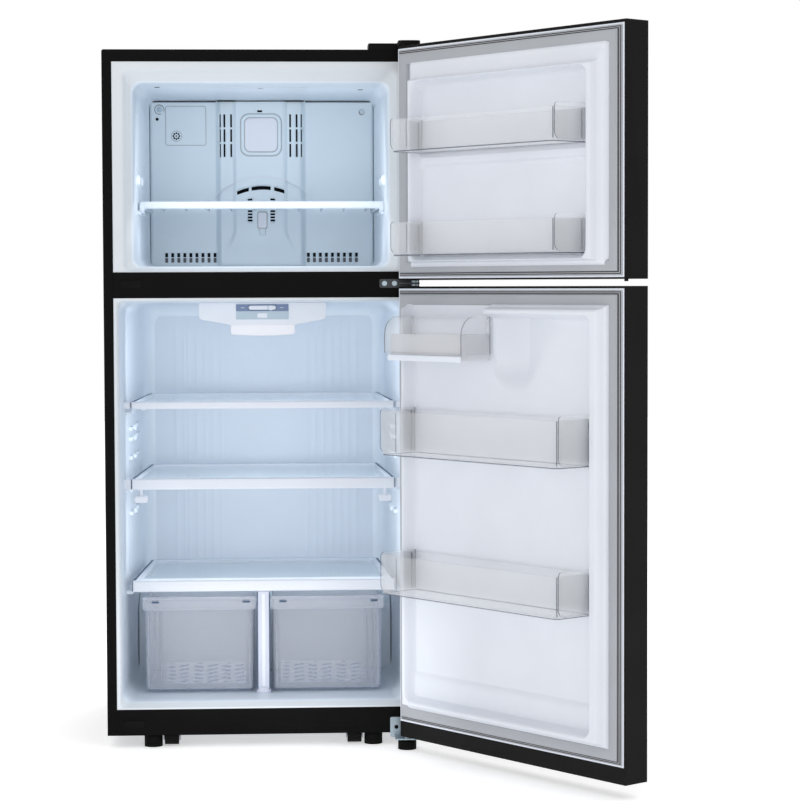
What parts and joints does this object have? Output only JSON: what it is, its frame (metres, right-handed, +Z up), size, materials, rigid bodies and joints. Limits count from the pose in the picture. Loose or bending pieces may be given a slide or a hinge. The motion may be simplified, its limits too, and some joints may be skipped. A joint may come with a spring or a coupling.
{
  "type": "top freezer refrigerator",
  "caption": "Tall two-door refrigerator with the freezer on top, both doors standing open on right-hand hinges, with shelves, crisper drawers and door bins.",
  "frame": {"origin": "the doors' common hinge axis at floor level, on the underside of the hinge-side levelling foot", "axes": "+X towards the hinge side, -Y out of the front, +Z up along the door hinge axis"},
  "size_m": [1.2125, 1.3842, 1.691],
  "materials": {
    "aluminium": "satin",
    "black_plastic": "satin",
    "black_steel": "gloss",
    "clear_plastic": "gloss",
    "dark_panel": "satin",
    "dark_steel": "satin",
    "door_liner": "satin",
    "fan_plastic": "satin",
    "foam": "matte",
    "frame_steel": "satin",
    "gasket": "matte",
    "glass": "gloss",
    "lens": "satin",
    "motor": "satin",
    "roller": "satin",
    "white_liner": "satin",
    "white_plastic": "satin",
    "zinc": "satin"
  },
  "bodies": {
    "cabinet": {"outer_case": "black_steel", "rear_panel": "dark_panel", "foam_insulation": "foam", "freezer_liner": "white_liner", "fridge_liner": "white_liner", "mullion_rail": "black_steel", "bottom_rail": "black_steel", "base_frame": "frame_steel", "top_hinge": "dark_steel", "top_hinge_cover": "black_plastic", "middle_hinge": "zinc", "bottom_hinge": "zinc", "screws": "zinc", "hole_caps": "black_plastic", "machine_cover": "dark_panel", "compressor": "black_steel", "condenser": "black_steel", "condenser_fan_motor": "motor", "drain_pan": "black_plastic", "evaporator": "aluminium", "evaporator_fan_motor": "motor", "freezer_rear_cover": "white_plastic", "air_cap": "white_plastic", "control_housing": "white_plastic", "light_lens": "lens", "crisper_frame": "white_plastic", "crisper_glass": "glass", "crisper_post": "white_plastic"},
    "condenser_fan": {"condenser_fan_blade": "fan_plastic"},
    "evaporator_fan": {"evaporator_fan_blade": "fan_plastic"},
    "freezer_slider": {"freezer_slider": "white_plastic"},
    "temperature_slider": {"temperature_slider": "white_plastic"},
    "freezer_shelf": {"freezer_shelf": "white_plastic"},
    "upper_shelf": {"upper_shelf_frame": "white_plastic", "upper_shelf_glass": "glass"},
    "middle_shelf": {"middle_shelf_frame": "white_plastic", "middle_shelf_glass": "glass"},
    "drawer_left": {"drawer_left": "clear_plastic"},
    "drawer_right": {"drawer_right": "clear_plastic"},
    "foot_left": {"foot_left": "black_plastic"},
    "foot_right": {"foot_right": "black_plastic"},
    "foot_hinge": {"foot_hinge": "black_plastic"},
    "roller_left": {"roller_left": "roller"},
    "roller_right": {"roller_right": "roller"},
    "rear_rollers": {"rear_rollers": "roller"},
    "freezer_door": {"freezer_door_skin": "black_steel", "freezer_door_liner": "door_liner", "freezer_door_foam": "foam", "freezer_door_gasket": "gasket"},
    "fridge_door": {"fridge_door_skin": "black_steel", "fridge_door_liner": "door_liner", "fridge_door_foam": "foam", "fridge_door_gasket": "gasket"},
    "freezer_bin_upper": {"freezer_bin_upper": "clear_plastic"},
    "freezer_bin_lower": {"freezer_bin_lower": "clear_plastic"},
    "fridge_bin_upper": {"fridge_bin_upper": "clear_plastic"},
    "fridge_bin_lower": {"fridge_bin_lower": "clear_plastic"},
    "dairy_bin": {"dairy_bin": "white_plastic"},
    "dairy_lid": {"dairy_lid": "clear_plastic"}
  },
  "joints": [
    {"name": "freezer_door_hinge", "type": "hinge", "parent": "cabinet", "child": "freezer_door", "pos_m": [0, 0, 1.4], "axis": [0, 0, 1], "range_deg": [-127, 8]},
    {"name": "fridge_door_hinge", "type": "hinge", "parent": "cabinet", "child": "fridge_door", "pos_m": [0, 0, 0.57], "axis": [0, 0, 1], "range_deg": [-127, 8]},
    {"name": "freezer_shelf_slide", "type": "slide", "parent": "cabinet", "child": "freezer_shelf", "axis": [0, -1, 0], "range_m": [0, 0.2]},
    {"name": "upper_shelf_slide", "type": "slide", "parent": "cabinet", "child": "upper_shelf", "axis": [0, -1, 0], "range_m": [0, 0.2]},
    {"name": "middle_shelf_slide", "type": "slide", "parent": "cabinet", "child": "middle_shelf", "axis": [0, -1, 0], "range_m": [0, 0.2]},
    {"name": "drawer_left_slide", "type": "slide", "parent": "cabinet", "child": "drawer_left", "axis": [0, -1, 0], "range_m": [0, 0.3]},
    {"name": "drawer_right_slide", "type": "slide", "parent": "cabinet", "child": "drawer_right", "axis": [0, -1, 0], "range_m": [0, 0.3]},
    {"name": "freezer_slider_travel", "type": "slide", "parent": "cabinet", "child": "freezer_slider", "axis": [0, 0, 1], "range_m": [-0.024, 0.024]},
    {"name": "temperature_slider_travel", "type": "slide", "parent": "cabinet", "child": "temperature_slider", "axis": [1, 0, 0], "range_m": [-0.048, 0.008]},
    {"name": "freezer_bin_upper_lift", "type": "slide", "parent": "freezer_door", "child": "freezer_bin_upper", "axis": [0, 0, 1], "range_m": [0, 0.06]},
    {"name": "freezer_bin_lower_lift", "type": "slide", "parent": "freezer_door", "child": "freezer_bin_lower", "axis": [0, 0, 1], "range_m": [0, 0.06]},
    {"name": "fridge_bin_upper_lift", "type": "slide", "parent": "fridge_door", "child": "fridge_bin_upper", "axis": [0, 0, 1], "range_m": [0, 0.06]},
    {"name": "fridge_bin_lower_lift", "type": "slide", "parent": "fridge_door", "child": "fridge_bin_lower", "axis": [0, 0, 1], "range_m": [0, 0.06]},
    {"name": "dairy_bin_lift", "type": "slide", "parent": "fridge_door", "child": "dairy_bin", "axis": [0, 0, 1], "range_m": [0, 0.02]},
    {"name": "dairy_lid_hinge", "type": "hinge", "parent": "dairy_bin", "child": "dairy_lid", "pos_m": [0.07051, -0.18164, 1.036], "axis": [-0.6018, 0.7986, 0], "range_deg": [0, 75]},
    {"name": "condenser_fan_spin", "type": "hinge", "parent": "cabinet", "child": "condenser_fan", "pos_m": [-0.422, 0.649, 0.138], "axis": [1, 0, 0], "continuous": true},
    {"name": "evaporator_fan_spin", "type": "hinge", "parent": "cabinet", "child": "evaporator_fan", "pos_m": [-0.364, 0.634, 1.506], "axis": [0, 1, 0], "continuous": true},
    {"name": "foot_left_turn", "type": "hinge", "parent": "cabinet", "child": "foot_left", "pos_m": [-0.633, 0.079, 0.01], "axis": [0, 0, 1], "continuous": true},
    {"name": "foot_right_turn", "type": "hinge", "parent": "cabinet", "child": "foot_right", "pos_m": [-0.1, 0.079, 0.01], "axis": [0, 0, 1], "continuous": true},
    {"name": "foot_hinge_turn", "type": "hinge", "parent": "cabinet", "child": "foot_hinge", "pos_m": [-0.0214, 0, 0.01], "axis": [0, 0, 1], "continuous": true},
    {"name": "roller_left_roll", "type": "hinge", "parent": "cabinet", "child": "roller_left", "pos_m": [-0.5885, 0.079, 0.023], "axis": [1, 0, 0], "continuous": true},
    {"name": "roller_right_roll", "type": "hinge", "parent": "cabinet", "child": "roller_right", "pos_m": [-0.146, 0.079, 0.023], "axis": [1, 0, 0], "continuous": true},
    {"name": "rear_rollers_roll", "type": "hinge", "parent": "cabinet", "child": "rear_rollers", "pos_m": [-0.364, 0.724, 0.022], "axis": [1, 0, 0], "continuous": true}
  ]
}
